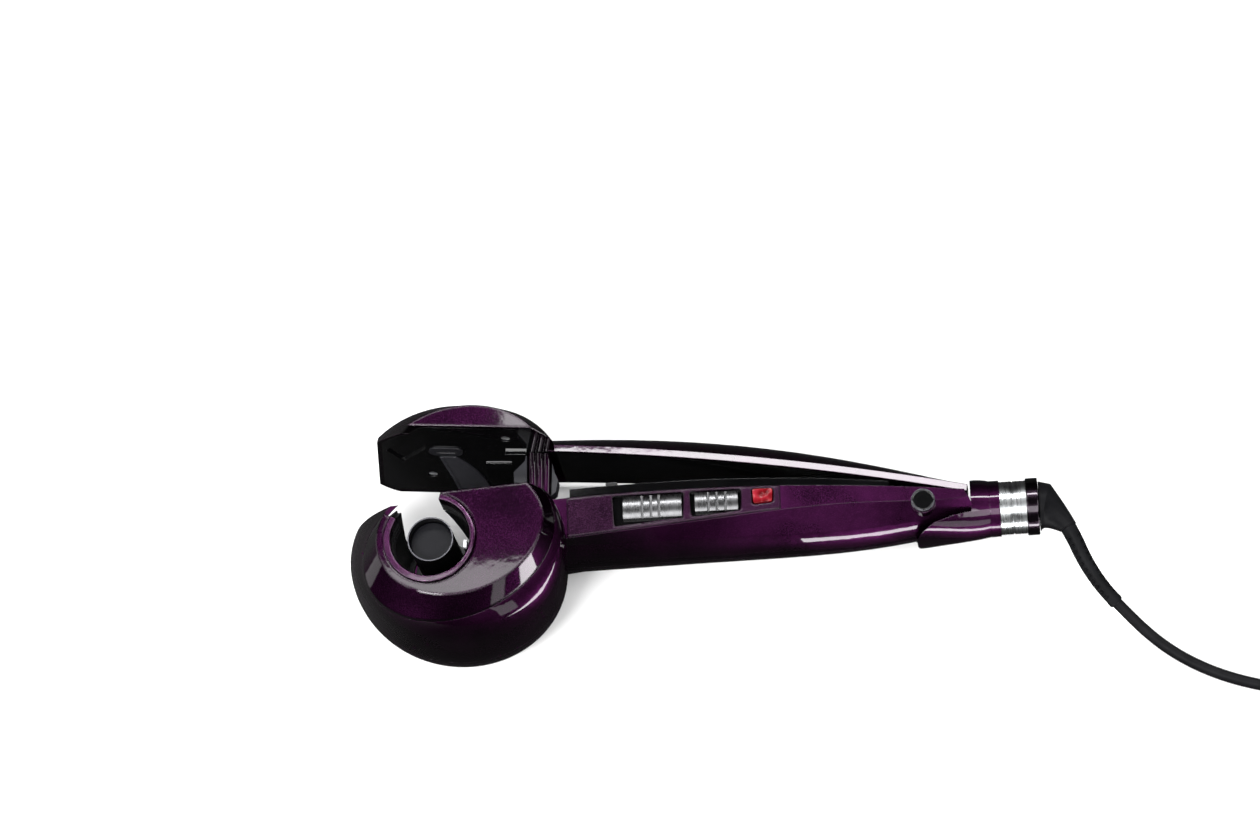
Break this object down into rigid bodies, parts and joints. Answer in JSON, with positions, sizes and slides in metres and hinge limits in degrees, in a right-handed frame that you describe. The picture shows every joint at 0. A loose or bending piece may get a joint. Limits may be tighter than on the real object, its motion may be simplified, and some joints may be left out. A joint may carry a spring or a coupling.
{
  "type": "automatic hair curler",
  "caption": "Jaw-shaped curling tool whose rotor winds a lock of hair round a heated barrel in its head, with slide controls on the arm and a swivelling cord.",
  "frame": {"origin": "foot of the barrel's axis, on the surface the flat back of the head lies on", "axes": "+Z along the barrel and the hinge pin, out of the curl chamber; +X from the head towards the cord; +Y from the lower jaw towards the upper jaw"},
  "size_m": [0.4577, 0.1431, 0.0656],
  "materials": {
    "purple": "pearlescent lacquered plastic, glossy",
    "piano_black": "piano black, polished",
    "grey_plastic": "fine matte grey plastic",
    "black_plastic": "fine matte black plastic",
    "bar_plastic": "matte dark grey plastic with a silver edge",
    "ceramic_black": "satin dark ceramic coating on metal",
    "steel": "brushed",
    "silver_metal": "brushed and lacquered",
    "silver_paint": "silver painted plastic, satin",
    "lens_red": "deep red, glossy",
    "lamp_glass": "clear red glass bulb",
    "spreader": "as machined",
    "ceramic": "white heater ceramic",
    "heatproof": "matte heat-resistant moulding",
    "acetal": "natural off-white acetal",
    "tip_white": "white heat-resistant moulding",
    "board": "green solder mask",
    "components": "black moulded components",
    "rubber": "matte",
    "cord_black": "matte cord jacket",
    "brass": "bright",
    "magnet": "nickel plated"
  },
  "bodies": {
    "lower_jaw": {"lower_front_shell": "purple", "lower_back_shell": "purple", "lower_face_plate": "purple", "back_screws": "steel", "chamber_liner": "heatproof", "chamber_lip": "purple", "barrel": "steel", "barrel_cap": "ceramic_black", "heater_core": "ceramic", "heat_spreader": "spreader", "insulating_sleeve": "heatproof", "jaw_liner": "black_plastic", "idler_axle": "steel", "motor": "silver_metal", "motor_bracket": "black_plastic", "lower_inner_cover": "piano_black", "closing_bumper": "piano_black", "control_panel": "purple", "switch_well": "piano_black", "circuit_board": "board", "slide_switches": "black_plastic", "board_components": "components", "lamp": "lamp_glass", "lamp_lens": "lens_red", "hinge_pin": "steel", "hinge_cap": "black_plastic", "hinge_cap_ring": "silver_metal", "rest_foot": "black_plastic", "hinge_spring": "steel", "rear_collar": "purple", "silver_ring": "silver_metal", "end_ring": "silver_paint", "swivel_bush": "black_plastic"},
    "rotor": {"rotor": "black_plastic", "rotor_finger_tip": "tip_white", "rotor_gear": "acetal"},
    "idler": {"idler_gear": "acetal"},
    "pinion": {"motor_pinion": "brass", "motor_shaft": "steel"},
    "temperature_slider": {"temperature_slider": "silver_paint"},
    "timer_slider": {"timer_slider": "silver_paint"},
    "upper_jaw": {"upper_shell": "purple", "upper_face_plate": "purple", "upper_jaw_cover": "piano_black", "hair_guide": "grey_plastic", "pressing_bar": "bar_plastic", "neck_guard": "purple", "guard_wings": "grey_plastic", "underside_screws": "steel", "upper_arm_cover": "piano_black", "closing_magnet": "magnet"},
    "swivel": {"swivel_elbow": "black_plastic", "strain_relief": "rubber", "cord": "cord_black", "cord_tail": "cord_black", "cord_coil": "cord_black", "cord_tie": "rubber", "plug_body": "rubber", "plug_blades": "brass"}
  },
  "joints": [
    {"name": "jaw_hinge", "type": "hinge", "parent": "lower_jaw", "child": "upper_jaw", "pos_m": [0.2017, 0.0109, 0.024], "axis": [0, 0, 1], "range_deg": [0, 8.2], "stiffness_Nm_per_rad": 0.8, "springref_deg": -14.32},
    {"name": "rotor_spin", "type": "hinge", "parent": "lower_jaw", "child": "rotor", "pos_m": [0, 0, 0.0155], "axis": [0, 0, 1], "continuous": true},
    {"name": "idler_spin", "type": "hinge", "parent": "lower_jaw", "child": "idler", "pos_m": [0.0156, -0.01252, 0.01125], "axis": [0, 0, 1], "continuous": true},
    {"name": "pinion_spin", "type": "hinge", "parent": "lower_jaw", "child": "pinion", "pos_m": [0.0141, -0.02442, 0.01125], "axis": [0, 0, 1], "continuous": true},
    {"name": "temperature_slide", "type": "slide", "parent": "lower_jaw", "child": "temperature_slider", "axis": [0.9994, 0, -0.0333], "range_m": [-0.0036, 0]},
    {"name": "timer_slide", "type": "slide", "parent": "lower_jaw", "child": "timer_slider", "axis": [0.9994, 0, -0.0333], "range_m": [-0.0018, 0]},
    {"name": "swivel_turn", "type": "hinge", "parent": "lower_jaw", "child": "swivel", "pos_m": [0.24, 0.0112, 0.024], "axis": [1, 0, 0], "continuous": true}
  ],
  "couplings": [
    {"joint": "idler_spin", "follows": "rotor_spin", "ratio": -1.7778},
    {"joint": "pinion_spin", "follows": "rotor_spin", "ratio": 2.6667}
  ]
}
